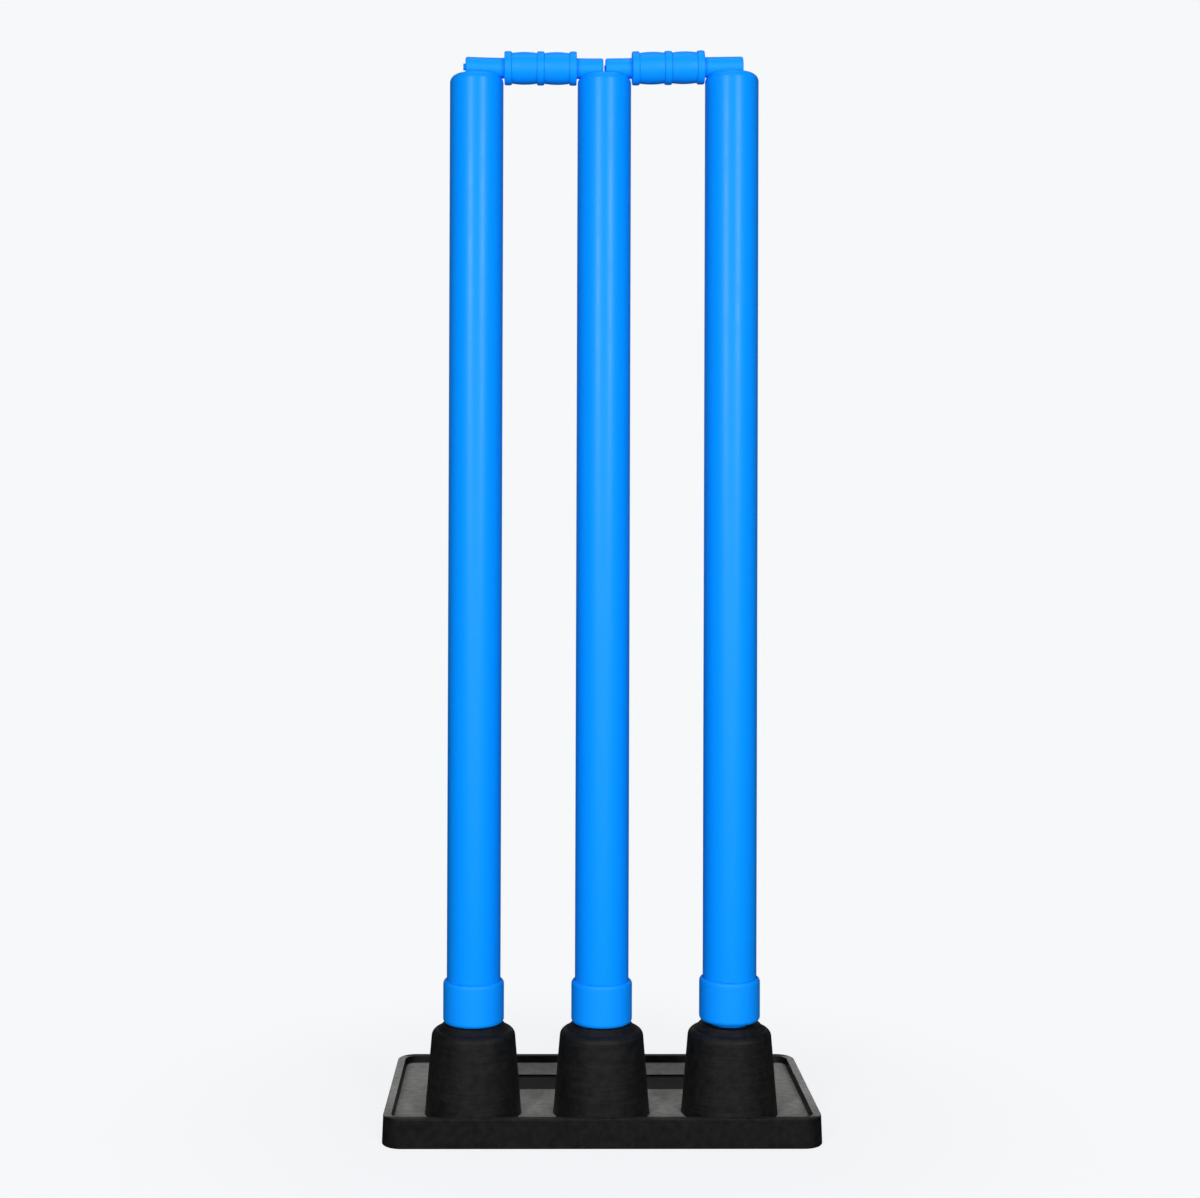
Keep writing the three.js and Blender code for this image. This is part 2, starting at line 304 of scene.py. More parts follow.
# %% Rubber
def black_rubber():
    """Pressed rubber with dust and painted sheen on the tray, level scuffs on the sockets, and grit all
    over.
    """
    material, tree = new_material("vulcanised rubber")
    place = add(tree, "ShaderNodeTexCoord").outputs["Object"]
    facing = add(tree, "ShaderNodeNewGeometry").outputs["Normal"]
    # Faces that look up carry the layer of dust and painted sheen.
    upward = add(tree, "ShaderNodeSeparateXYZ", {0: facing})
    up = add(
        tree,
        "ShaderNodeMapRange",
        {0: upward.outputs["Z"], "From Min": FACES_UP_FROM, "From Max": FACES_UP_FULLY},
    )
    fine = {"Scale": METRE / GRIT_SIZE, "Detail": 3, "Roughness": GRIT_FINENESS}
    grit = add(tree, "ShaderNodeTexNoise", {0: place, **fine})
    uneven = {"Scale": METRE / MOTTLE_SIZE, "Detail": 6, "Roughness": MARK_FINENESS}
    mottle = add(tree, "ShaderNodeTexNoise", {0: place, **uneven})
    cloud = add(tree, "ShaderNodeTexNoise", {0: place, "Scale": METRE / CLOUD_SIZE, "Detail": 2})
    stretch = (METRE / SCUFF_LENGTH, METRE / SCUFF_LENGTH, METRE / SCUFF_HEIGHT)
    level = add(tree, "ShaderNodeMapping", {0: place, "Scale": stretch})
    drawn = {"Scale": 1, "Detail": 4, "Roughness": MARK_FINENESS}
    scuffs = add(tree, "ShaderNodeTexNoise", {0: level, **drawn})
    dust = add(
        tree,
        "ShaderNodeMapRange",
        {
            0: mottle,
            "From Min": DUST_THIN_FROM,
            "From Max": DUST_THICK_FROM,
            "To Min": THIN_DUST,
            "To Max": 1,
        },
    )
    here = add(tree, "ShaderNodeSeparateXYZ", {0: place}).outputs
    above_bed = add(
        tree,
        "ShaderNodeMapRange",
        {0: here["Z"], "From Min": BED_HEIGHT * MM, "From Max": DUST_HEIGHT * MM},
    )
    on_tray = add(tree, "ShaderNodeMath", {0: here["Z"], 1: ABOVE_RIM * MM}, operation="LESS_THAN")
    standing = add(tree, "ShaderNodeMath", {0: scuffs, 1: on_tray}, operation="SUBTRACT")
    to_edge = add(tree, "ShaderNodeMath", {0: here["Y"]}, operation="ABSOLUTE")
    # The pale layer thins out on the front and back rims.
    off_edge = add(
        tree,
        "ShaderNodeMapRange",
        {
            0: to_edge,
            "From Min": RIM_BAND_FROM * MM,
            "From Max": RIM_BAND_TO * MM,
            "To Min": 1,
            "To Max": RIM_BAND_SHARE,
        },
    )
    # Painted sheen: the pale layer fades towards the front.
    painted_sheen_to_back = add(
        tree,
        "ShaderNodeMapRange",
        {
            0: here["Y"],
            "From Min": -RIM_BAND_FROM * MM,
            "From Max": PAINTED_SHEEN_FULL_FROM * MM,
            "To Min": FRONT_PAINTED_SHEEN_SHARE,
            "To Max": 1,
        },
    )
    shares = add(tree, "ShaderNodeMath", {0: dust, 1: painted_sheen_to_back}, operation="MULTIPLY")
    tray_dust_and_sheen = add(tree, "ShaderNodeMath", {0: shares, 1: on_tray}, operation="MULTIPLY")
    kept = add(tree, "ShaderNodeMath", {0: above_bed, 1: off_edge}, operation="MULTIPLY")
    lying = add(tree, "ShaderNodeMath", {0: tray_dust_and_sheen, 1: up}, operation="MULTIPLY")
    # How much dust and painted sheen lies on each point of the tray: it pales the colour and weights
    # the sheen.
    dust_and_painted_sheen = add(tree, "ShaderNodeMath", {0: lying, 1: kept}, operation="MULTIPLY")
    streaks = add(tree, "ShaderNodeMath", {0: standing, 1: SCUFF_FLOOR}, operation="MAXIMUM")
    marks = add(tree, "ShaderNodeMath", {0: streaks, 1: mottle}, operation="ADD")
    rubbed = add(
        tree, "ShaderNodeMapRange", {0: marks, "From Min": RUBBED_FROM, "From Max": RUBBED_TO}
    )
    clean = add(
        tree,
        "ShaderNodeMix",
        {"Factor": rubbed, "A": linear(CLEAN_RUBBER), "B": linear(RUBBED_RUBBER)},
        data_type="RGBA",
    )
    # The tray's paler colour is part dust and part painted sheen.
    tone = add(
        tree,
        "ShaderNodeMix",
        {"Factor": dust_and_painted_sheen, "A": clean.outputs["Result"], "B": linear(DUST_AND_PAINTED_SHEEN)},
        data_type="RGBA",
    )
    roughness = add(
        tree,
        "ShaderNodeMapRange",
        {
            0: cloud,
            "From Min": NOISE_LOW,
            "From Max": NOISE_HIGH,
            "To Min": RUBBER_GLOSS,
            "To Max": RUBBER_DULL,
        },
    )
    relief = {"Strength": RELIEF_STRENGTH, "Distance": GRIT_DEPTH * MM, "Height": grit}
    surface = add(tree, "ShaderNodeBump", relief)
    relief |= {"Distance": SCUFF_DEPTH * MM, "Height": streaks, "Normal": surface}
    surface = add(tree, "ShaderNodeBump", relief)
    shader = add(
        tree,
        "ShaderNodeBsdfPrincipled",
        {
            "Base Color": tone.outputs["Result"],
            "Roughness": roughness,
            "IOR": RUBBER_IOR,
            "Specular IOR Level": RUBBER_SPECULAR,
            "Sheen Weight": dust_and_painted_sheen,
            "Sheen Roughness": DUST_SHEEN_ROUGHNESS,
            "Sheen Tint": linear(DUST_SHEEN),
            "Normal": surface,
        },
    )
    add(tree, "ShaderNodeOutputMaterial", {"Surface": shader})
    return material


rubber = black_rubber()
print("materials:", [m.name for m in (stump_plastic, ferrule_plastic, bail_plastic, rubber)])

# %% [markdown]
# ## Turning a profile
# Stumps, ferrules and sockets are all round, and their moulds are turned on a lathe. The Screw
# modifier is Blender's lathe: it sweeps a profile of edges about Z. A profile here is a list of
# radius and height in millimetres, and its corners are arcs, since no moulding has sharp edges.

# %% Profile and mesh helpers
ROUND_SIDES = 128
ARC_STEPS = 8
SHARP_DEGREES = 32
WELD = 0.0005


def arc(radius, centre_r, centre_z, start, end, steps=ARC_STEPS, stretch=1):
    """Points of an arc in a profile, from one angle to another in degrees. Stretch makes it taller."""
    angles = [math.radians(start + (end - start) * i / steps) for i in range(steps + 1)]
    tall = radius * stretch
    return [(centre_r + radius * math.cos(a), centre_z + tall * math.sin(a)) for a in angles]


def linked(name, mesh):
    """A new object in the scene for a mesh."""
    made = bpy.data.objects.new(name, mesh)
    bpy.context.scene.collection.objects.link(made)
    return made


def turned(name, profile):
    """An object that turns a profile of (radius, height) about Z."""
    mesh = bpy.data.meshes.new(name)
    points = [(radius * MM, 0, height * MM) for radius, height in profile]
    mesh.from_pydata(points, [(i, i + 1) for i in range(len(points) - 1)], [])
    made = linked(name, mesh)
    lathe = made.modifiers.new("lathe", "SCREW")
    lathe.steps = ROUND_SIDES
    lathe.render_steps = ROUND_SIDES
    lathe.use_merge_vertices = True
    lathe.merge_threshold = WELD * MM
    lathe.use_normal_calculate = True
    return made


def evaluated_mesh(made):
    """A plain mesh of an object with its modifiers applied. The object is removed."""
    graph = bpy.context.evaluated_depsgraph_get()
    mesh = bpy.data.meshes.new_from_object(made.evaluated_get(graph), depsgraph=graph)
    bpy.data.objects.remove(made)
    return mesh


print(f"a turned shape has {ROUND_SIDES} sides, and an arc {ARC_STEPS} steps")

# %% [markdown]
# ## Clean meshes and finished pieces
# A turned or cut mesh has doubled points, and sometimes faces that look inwards. Both spoil the
# shading and the files made from it, so each mesh is cleaned once before it is used. A finished
# piece is a copy of such a mesh with its place moved into the points, so that its object stands at
# the origin and patterns on Object coordinates stay put. It rides on a body of the frame, and
# stands for the frame's plainer piece.

# %% Cleaning a mesh and finishing a piece
import bmesh


def cleaned(mesh):
    """Merges doubles, turns faces outwards and shades smoothly but for real corners."""
    edit = bmesh.new()
    edit.from_mesh(mesh)
    bmesh.ops.remove_doubles(edit, verts=edit.verts, dist=WELD * MM)
    bmesh.ops.dissolve_degenerate(edit, edges=edit.edges, dist=WELD * MM)
    bmesh.ops.recalc_face_normals(edit, faces=edit.faces)
    open_edges = sum(not edge.is_manifold for edge in edit.edges)
    edit.to_mesh(mesh)
    edit.free()
    mesh.polygons.foreach_set("use_smooth", [True] * len(mesh.polygons))
    mesh.set_sharp_from_angle(angle=math.radians(SHARP_DEGREES))
    print(f"{mesh.name}: {len(mesh.polygons)} faces, {open_edges} open edges")
    return mesh


def piece(name, mesh, place, material, body, slot, node):
    """A finished piece: its place goes into a copy of the mesh, and it stands for a node."""
    own = mesh.copy()
    own.transform(place)
    own.materials.clear()
    own.materials.append(material)
    made = linked(name, own)
    even = made.modifiers.new("even shading", "WEIGHTED_NORMAL")
    even.keep_sharp = True
    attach(made, body)
    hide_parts(node)


# %% [markdown]
# ## The rubber plate
# The plate is a shallow tray: a drafted outside wall, a rim, and a floor that is sunk inside it.
# Its outline is the same rounded rectangle at every level, drawn in by some amount, so the whole
# plate is one loft through a list of levels. Round edges come from arcs in that list, just as in
# a turned profile, with the inset in place of the radius.

# %% Plate
PLATE_THICKNESS = 14.1
RIM_HEIGHT = 4.9
RIM_WIDTH = 5.5
RIM_EDGE = 0.8
INNER_EDGE = 0.6
TRAY_FILLET = 1.2
FOOT_EDGE = 0.9
SIDE_DRAFT = 0.7
TRAY_DRAFT = 0.6
CORNER_RADIUS = 13
CORNER_STEPS = 14

base_centre = (base_low + base_high) / 2
base_length = base_high.x - base_low.x
base_width = base_high.y - base_low.y
rim_top = PLATE_THICKNESS + RIM_HEIGHT


def rounded_rectangle(length, width, radius, height):
    """The points of a rounded rectangle round the origin, counterclockwise, at a height."""
    points = []
    for turn in range(4):
        x = (length / 2 - radius) * (1 if turn in (0, 3) else -1)
        y = (width / 2 - radius) * (1 if turn in (0, 1) else -1)
        corner = arc(radius, x, y, 90 * turn, 90 * (turn + 1), CORNER_STEPS)
        points += [(corner_x, corner_y, height) for corner_x, corner_y in corner]
    return points


def lofted(name, length, width, radius, levels):
    """A closed mesh through rounded rectangles, each drawn in by its inset at its height, in mm."""
    rings = [
        rounded_rectangle(length - 2 * inset, width - 2 * inset, radius - inset, height)
        for inset, height in levels
    ]
    count = len(rings[0])
    faces = [list(reversed(range(count)))]
    for level in range(len(rings) - 1):
        first = level * count
        for i in range(count):
            after = (i + 1) % count
            faces.append((first + i, first + after, first + count + after, first + count + i))
    faces.append([(len(rings) - 1) * count + i for i in range(count)])
    mesh = bpy.data.meshes.new(name)
    mesh.from_pydata([Vector(p) * MM for ring in rings for p in ring], [], faces)
    return mesh


inner = SIDE_DRAFT + RIM_WIDTH
plate_levels = [
    *arc(FOOT_EDGE, FOOT_EDGE, FOOT_EDGE, 270, 180),
    *arc(RIM_EDGE, SIDE_DRAFT + RIM_EDGE, rim_top - RIM_EDGE, 180, 90),
    *arc(INNER_EDGE, inner - INNER_EDGE, rim_top - INNER_EDGE, 90, 0),
    *arc(TRAY_FILLET, inner + TRAY_DRAFT + TRAY_FILLET, PLATE_THICKNESS + TRAY_FILLET, 180, 270),
]
plate = linked("plate", lofted("plate", base_length, base_width, CORNER_RADIUS, plate_levels))
plate.location = Vector((base_centre.x, base_centre.y, 0)) * MM
print(f"plate {base_length:.0f} by {base_width:.0f} mm, rim top at {rim_top:.1f} mm")

# %% [markdown]
# ## The sunk panel
# A plain panel is sunk a millimetre into the tray behind the sockets. It is cut from the plate
# with a Boolean, because it isn't concentric with the rim. The cutter is the same kind of loft,
# with a rounded lower edge and a little draft.

# %% Panel cutter
PANEL_LENGTH = 156
PANEL_WIDTH = 34.2
PANEL_MARGIN = 16.2
PANEL_DEPTH = 1
PANEL_CORNER = 2.4
PANEL_FILLET = 0.4
PANEL_DRAFT = 0.25
CUT_OVERRUN = 1.5
SOCKET_FOOT_RADIUS = 31.5

panel_y = row_y + SOCKET_FOOT_RADIUS + PANEL_MARGIN + PANEL_WIDTH / 2
panel_floor = PLATE_THICKNESS - PANEL_DEPTH
panel_levels = [
    *arc(PANEL_FILLET, PANEL_DRAFT + PANEL_FILLET, panel_floor + PANEL_FILLET, 270, 180, steps=4),
    (0, PLATE_THICKNESS),
    (0, PLATE_THICKNESS + CUT_OVERRUN),
]
panel = linked("panel", lofted("panel", PANEL_LENGTH, PANEL_WIDTH, PANEL_CORNER, panel_levels))
panel.location = Vector((base_centre.x, panel_y, 0)) * MM
print(f"panel {PANEL_LENGTH} by {PANEL_WIDTH} mm")

# %% [markdown]
# ## The sockets, in a row
# Each socket is a blunt cone with a round shoulder, a narrow groove and a low sloping lip, and a
# deep bore for the ferrule's peg. One profile is turned on the lathe, with a small fillet at its
# foot as rubber flows in a mould. The three are alike and evenly spaced, so a Geometry Nodes tree
# sets copies of the turned shape along a line, from a count, a spacing and the middle of the row.
# Draft and turns are in degrees.

# %% Socket profile
SOCKET_TOP_RADIUS = 27.4
SOCKET_HEIGHT = 54.9
SOCKET_SHOULDER = 5.2
SOCKET_FOOT_FLARE = 0.5
SOCKET_ROOT = 1.5
SOCKET_DRAFT = 4
SHOULDER_TURN = 75
LIP_WALL = 6.9
LIP_HEIGHT = 3.2
LIP_ROUND = 0.8
LIP_GROOVE_WIDTH = 0.3
LIP_GROOVE_DEPTH = 0.5
LIP_CREASE = 0.3
CREASE_TURN = 140
LIP_SLOPE = 45
MOUTH_ROUND = 0.5
PEG_RADIUS = 13
PEG_GAP = 0.3
BORE_DEPTH = 58

flare_radius = SOCKET_FOOT_RADIUS + SOCKET_FOOT_FLARE
flare_height = PLATE_THICKNESS + SOCKET_FOOT_FLARE
bore_radius = PEG_RADIUS + PEG_GAP
lip_radius = bore_radius + LIP_WALL
socket_top = PLATE_THICKNESS + SOCKET_HEIGHT
lip_top = socket_top + LIP_HEIGHT
groove_floor = socket_top - LIP_GROOVE_DEPTH
shoulder_radius = SOCKET_TOP_RADIUS - SOCKET_SHOULDER
shoulder_end = shoulder_radius + SOCKET_SHOULDER * math.cos(math.radians(SHOULDER_TURN))
lip_foot = shoulder_end - LIP_GROOVE_WIDTH
socket_profile = [
    (0, PLATE_THICKNESS - SOCKET_ROOT),
    (flare_radius, PLATE_THICKNESS - SOCKET_ROOT),
    *arc(SOCKET_FOOT_FLARE, flare_radius, flare_height, 270, 180 + SOCKET_DRAFT, steps=5),
    *arc(
        SOCKET_SHOULDER,
        shoulder_radius,
        socket_top - SOCKET_SHOULDER,
        SOCKET_DRAFT,
        SHOULDER_TURN,
        steps=12,
    ),
    *arc(LIP_CREASE, lip_foot, groove_floor + LIP_CREASE, 0, -CREASE_TURN, steps=6),
    *arc(LIP_ROUND, lip_radius - LIP_ROUND, lip_top - LIP_ROUND, LIP_SLOPE, 90),
    *arc(MOUTH_ROUND, bore_radius + MOUTH_ROUND, lip_top - MOUTH_ROUND, 90, 180, steps=4),
    (bore_radius, lip_top - BORE_DEPTH),
    (0, lip_top - BORE_DEPTH),
]
sockets = turned("sockets", socket_profile)
print(f"socket {2 * SOCKET_FOOT_RADIUS:.0f} mm wide, lip at {lip_top:.1f} mm")

# %% [markdown]
# One function starts a tree with named inputs. A modifier knows an input by its identifier, so a
# second function looks that up from the name. The tree ends in Realize Instances, because the
# Boolean that joins the sockets to the plate needs real faces, and in Set Material.

# %% Row tree
def geometry_tree(name, inputs):
    """A Geometry Nodes tree with named inputs, its input node and its output node."""
    tree = bpy.data.node_groups.new(name, "GeometryNodeTree")
    tree.interface.new_socket("Geometry", in_out="OUTPUT", socket_type="NodeSocketGeometry")
    tree.interface.new_socket("Geometry", in_out="INPUT", socket_type="NodeSocketGeometry")
    for title, kind in inputs:
        tree.interface.new_socket(title, in_out="INPUT", socket_type="NodeSocket" + kind)
    return tree, add(tree, "NodeGroupInput").outputs, add(tree, "NodeGroupOutput")


def grown(made, tree, values):
    """Adds a tree as a modifier and sets its inputs by their identifiers."""
    modifier = made.modifiers.new(tree.name, "NODES")
    modifier.node_group = tree
    for item in tree.interface.items_tree:
        if item.in_out == "INPUT" and item.name in values:
            modifier[item.identifier] = values[item.name]


row_tree, given, result = geometry_tree(
    "Row", [("Count", "Int"), ("Spacing", "Float"), ("Middle", "Vector"), ("Material", "Material")]
)
gaps = add(row_tree, "ShaderNodeMath", {0: given["Count"], 1: 1}, operation="SUBTRACT")
length = add(row_tree, "ShaderNodeMath", {0: gaps, 1: given["Spacing"]}, operation="MULTIPLY")
half = add(row_tree, "ShaderNodeMath", {0: length, 1: -0.5}, operation="MULTIPLY")
offset = add(row_tree, "ShaderNodeCombineXYZ", {"X": given["Spacing"]})
to_start = add(row_tree, "ShaderNodeCombineXYZ", {"X": half})
start = add(row_tree, "ShaderNodeVectorMath", {0: given["Middle"], 1: to_start}, operation="ADD")
line = add(
    row_tree,
    "GeometryNodeMeshLine",
    {"Count": given["Count"], "Start Location": start, "Offset": offset},
)
copies = add(
    row_tree, "GeometryNodeInstanceOnPoints", {"Points": line, "Instance": given["Geometry"]}
)
real = add(row_tree, "GeometryNodeRealizeInstances", {0: copies})
dressed = add(row_tree, "GeometryNodeSetMaterial", {0: real, "Material": given["Material"]})
row_tree.links.new(dressed.outputs[0], result.inputs[0])
grown(
    sockets,
    row_tree,
    {
        "Count": len(STUMPS),
        "Spacing": spacing * MM,
        "Middle": Vector((0, row_y, 0)) * MM,
        "Material": rubber,
    },
)
print(f"{len(STUMPS)} sockets in a row, {spacing:.1f} mm apart")

# %% [markdown]
# ## Joining the base
# The real base is one moulding, so the pieces are joined to one closed mesh: the panel is cut out
# and the row of sockets is added. Both are Boolean modifiers on the plate, which is then turned to
# a plain mesh.

# %% Base
for operation, other in (("DIFFERENCE", panel), ("UNION", sockets)):
    joining = plate.modifiers.new(operation.lower(), "BOOLEAN")
    joining.operation = operation
    joining.object = other
    joining.solver = "EXACT"
plate_place = Matrix.Translation(plate.location)
base_mesh = evaluated_mesh(plate)
base_mesh.transform(plate_place)
cleaned(base_mesh)
for helper in (panel, sockets):
    bpy.data.objects.remove(helper)
piece("moulded_base", base_mesh, Matrix(), rubber, "base", "base_rubber", "rubber_base")

# %% [markdown]
# ## The stumps
# A stump is a hollow polypropylene moulding with a two millimetre wall, closed at the top, where
# its edge is rounded, and open at the foot. The bails need a seat, so a shallow round groove runs
# across the top. The tube is turned, and the groove is cut with a cylinder a little larger than
# the bail's spigot.

# %% Stump tubes
TUBE_WALL = 2
CROWN_RADIUS = 5
CROWN_THICKNESS = 5.5
TUBE_FOOT_EDGE = 0.5
SPIGOT_RADIUS = 6.65
SPIGOT_SEAT = 1.75
SEAT_GAP = 0.3
GROOVE_GAP = 0.35

tube_length = tube_high.z - tube_low.z
inner_radius = tube_radius - TUBE_WALL
inner_crown = CROWN_RADIUS - TUBE_WALL
inner_top = tube_length - CROWN_THICKNESS
tube_profile = [
    (0, tube_length),
    *arc(CROWN_RADIUS, tube_radius - CROWN_RADIUS, tube_length - CROWN_RADIUS, 90, 0, steps=16),
    *arc(TUBE_FOOT_EDGE, tube_radius - TUBE_FOOT_EDGE, TUBE_FOOT_EDGE, 0, -90, steps=4),
    (inner_radius, 0),
    *arc(inner_crown, inner_radius - inner_crown, inner_top - inner_crown, 0, 90),
    (0, inner_top),
]
tube = turned("tube", tube_profile)
bail_axis = tube_length - SPIGOT_SEAT + SEAT_GAP + SPIGOT_RADIUS
groove_radius = SPIGOT_RADIUS + GROOVE_GAP
reach = tube_radius + CUT_OVERRUN
groove = turned("groove", [(0, -reach), (groove_radius, -reach), (groove_radius, reach), (0, reach)])
lying = Matrix.Rotation(math.pi / 2, 4, "Y")
groove.matrix_world = Matrix.Translation((0, 0, bail_axis * MM)) @ lying
cutting = tube.modifiers.new("groove", "BOOLEAN")
cutting.operation = "DIFFERENCE"
cutting.object = groove
cutting.solver = "EXACT"
tube_mesh = cleaned(evaluated_mesh(tube))
bpy.data.objects.remove(groove)

# %% [markdown]
# ## The ferrules
# A ferrule joins a stump to its socket. It has a wide collar that shows, a cup above the collar's
# floor for the tube's foot, and a hollow peg below that drops into the rubber. It is one moulding,
# so it is one turned profile, with heights measured from the collar's underside. Just under the
# collar the peg is relieved a little, which leaves the dark gap that shows where a collar stands
# above its socket.

# %% Ferrule
COLLAR_TOP_ROUND = 1.9
COLLAR_TOP_STRETCH = 1.5
COLLAR_FOOT_ROUND = 3
COLLAR_WALL = 2
COLLAR_FLOOR = 4
PEG_WALL = 2.4
PEG_TAPER = 0.3
PEG_RELIEF = 1.5
PEG_RELIEF_HEIGHT = 3
PEG_TIP_ROUND = 1.5
PEG_LENGTH = 52

collar_radius = (collar_high.x - peg_low.x) / 2
collar_foot = peg_low.z + PEG_LENGTH
collar_height = collar_high.z - collar_foot
cup_radius = collar_radius - COLLAR_WALL
shoulder_r = collar_radius - COLLAR_TOP_ROUND
shoulder_z = collar_height - COLLAR_TOP_ROUND * COLLAR_TOP_STRETCH
tip_radius = PEG_RADIUS - PEG_TAPER
ferrule_profile = [
    (0, 0),
    (PEG_RADIUS - PEG_WALL, 0),
    (PEG_RADIUS - PEG_WALL, -PEG_LENGTH),
    *arc(PEG_TIP_ROUND, tip_radius - PEG_TIP_ROUND, PEG_TIP_ROUND - PEG_LENGTH, -90, 0, steps=6),
    (PEG_RADIUS, -PEG_RELIEF_HEIGHT - PEG_RELIEF),
    (PEG_RADIUS - PEG_RELIEF, -PEG_RELIEF_HEIGHT),
    (PEG_RADIUS - PEG_RELIEF, 0),
    *arc(COLLAR_FOOT_ROUND, collar_radius - COLLAR_FOOT_ROUND, COLLAR_FOOT_ROUND, -90, 0),
    *arc(COLLAR_TOP_ROUND, shoulder_r, shoulder_z, 0, 90, stretch=COLLAR_TOP_STRETCH),
    (cup_radius, collar_height),
    (cup_radius, COLLAR_FLOOR),
    (0, COLLAR_FLOOR),
]
ferrule_mesh = cleaned(evaluated_mesh(turned("ferrule", ferrule_profile)))

# %% [markdown]
# ## Three stumps in a row
# The three stumps are alike, so their meshes are made once. Each copy's place is read from the
# frame, which also keeps the right stump a little higher in its socket, as in the photograph.

# %% Set the stumps in a row
for stump in STUMPS:
    body = stump.replace("stump_", "") + "_stump"
    low, high = box_mm(stump + "_tube")
    foot = Vector(((low.x + high.x) / 2, row_y, low.z)) * MM
    print(f"{stump}: from {low.z:.1f} to {high.z:.1f} mm")
    standing = Matrix.Translation(foot)
    look = (stump_plastic, body, "stump_plastic")
    piece(stump + "_shaft", tube_mesh, standing, *look, stump + "_tube")
    low, high = box_mm(stump + "_ferrule")
    seat = Vector(((low.x + high.x) / 2, row_y, low.z + PEG_LENGTH)) * MM
    standing = Matrix.Translation(seat)
    look = (ferrule_plastic, body, "ferrule_plastic")
    piece(stump + "_collar", ferrule_mesh, standing, *look, stump + "_ferrule")

# %% [markdown]
# ## The bails
# A bail follows a rule along its length: spigot, ring, belly, ring, belly, ring, spigot. That
# suits Geometry Nodes. A line is resampled, each point's radius is worked out from its place
# along the bail, and a circle is swept along it. Rings are a rounded step, bellies a half sine
# between them, and the spigots' ends are round. The stub at one end is where the moulding was
# cut from its runner.
#
# The arithmetic is a list of steps. Each has a name, an operation and its terms: a number, an
# input of the tree, the name of an earlier step, or "along", which is a point's place on the
# bail's axis. One loop turns every step into a Math node.

# %% Bail tree
BAIL_INPUTS = (
    "Start",
    "End",
    "Inner Stub",
    "Outer Stub",
    "Stub Radius",
    "Spigot Radius",
    "Spigot Edge",
    "Barrel Start",
    "Barrel Length",
    "Ring Gaps",
    "Ring Width",
    "Ring Radius",
    "Valley Radius",
    "Belly Radius",
    "Bend",
)
bail_tree, given, result = geometry_tree(
    "Bail",
    [(title, "Float") for title in BAIL_INPUTS]
    + [("Points", "Int"), ("Sides", "Int"), ("Material", "Material")],
)


# %% Bail rule
RING_SQUARENESS = 3.6
BELLY_FULLNESS = 0.8
BAIL_RULE = (
    ("from start", "SUBTRACT", "along", "Start"),
    ("from end", "SUBTRACT", "End", "along"),
    ("nearest end", "MINIMUM", "from start", "from end"),
    ("on spigot", "GREATER_THAN", "nearest end", 0),
    ("inside end", "MAXIMUM", "nearest end", 0),
    ("into edge", "MINIMUM", "inside end", "Spigot Edge"),
    ("short of edge", "SUBTRACT", "Spigot Edge", "into edge"),
    ("edge square", "MULTIPLY", "Spigot Edge", "Spigot Edge"),
    ("short square", "MULTIPLY", "short of edge", "short of edge"),
    ("rise square", "SUBTRACT", "edge square", "short square"),
    ("edge rise", "SQRT", "rise square"),
    ("spigot core", "SUBTRACT", "Spigot Radius", "Spigot Edge"),
    ("spigot", "ADD", "spigot core", "edge rise"),
    ("into barrel", "SUBTRACT", "along", "Barrel Start"),
    ("before end", "SUBTRACT", "Barrel Length", "into barrel"),
    ("inside barrel", "MINIMUM", "into barrel", "before end"),
    ("on barrel", "GREATER_THAN", "inside barrel", 0),
    ("ringless", "SUBTRACT", "Barrel Length", "Ring Width"),
    ("pitch", "DIVIDE", "ringless", "Ring Gaps"),
    ("within", "FLOORED_MODULO", "into barrel", "pitch"),
    ("on ring", "LESS_THAN", "within", "Ring Width"),
    ("across ring", "DIVIDE", "within", "Ring Width"),
    ("off middle", "MULTIPLY_ADD", "across ring", 2, -1),
    ("from middle", "ABSOLUTE", "off middle"),
    ("to side", "MINIMUM", "from middle", 1),
    ("fall", "POWER", "to side", RING_SQUARENESS),
    ("left over", "SUBTRACT", 1, "fall"),
    ("ring share", "POWER", "left over", 1 / RING_SQUARENESS),
    ("ring step", "SUBTRACT", "Ring Radius", "Valley Radius"),
    ("ring", "MULTIPLY_ADD", "ring share", "ring step", "Valley Radius"),
    ("belly length", "SUBTRACT", "pitch", "Ring Width"),
    ("after ring", "SUBTRACT", "within", "Ring Width"),
    ("past ring", "MAXIMUM", "after ring", 0),
    ("along belly", "DIVIDE", "past ring", "belly length"),
    ("belly turn", "MULTIPLY", "along belly", math.pi),
    ("wave", "SINE", "belly turn"),
    ("hump", "MAXIMUM", "wave", 0),
    ("swell", "POWER", "hump", BELLY_FULLNESS),
    ("belly step", "SUBTRACT", "Belly Radius", "Valley Radius"),
    ("belly", "MULTIPLY_ADD", "swell", "belly step", "Valley Radius"),
    ("first", "SUBTRACT", "Start", "Inner Stub"),
    ("last", "ADD", "End", "Outer Stub"),
    ("barrel end", "ADD", "Barrel Start", "Barrel Length"),
)

known = {title: given[title] for title in BAIL_INPUTS}
position = add(bail_tree, "GeometryNodeInputPosition")
known["along"] = add(bail_tree, "ShaderNodeSeparateXYZ", {0: position})
for title, operation, *terms in BAIL_RULE:
    inputs = {i: known.get(term, term) for i, term in enumerate(terms)}
    known[title] = add(bail_tree, "ShaderNodeMath", inputs, operation=operation)
print(len(BAIL_RULE), "steps of arithmetic along a bail")

# %% Bail radius
stub_or_spigot = add(
    bail_tree,
    "ShaderNodeMix",
    {"Factor": known["on spigot"], "A": given["Stub Radius"], "B": known["spigot"]},
)
barrel = add(
    bail_tree,
    "ShaderNodeMix",
    {"Factor": known["on ring"], "A": known["belly"], "B": known["ring"]},
)
radius = add(
    bail_tree, "ShaderNodeMix", {"Factor": known["on barrel"], "A": stub_or_spigot, "B": barrel}
)

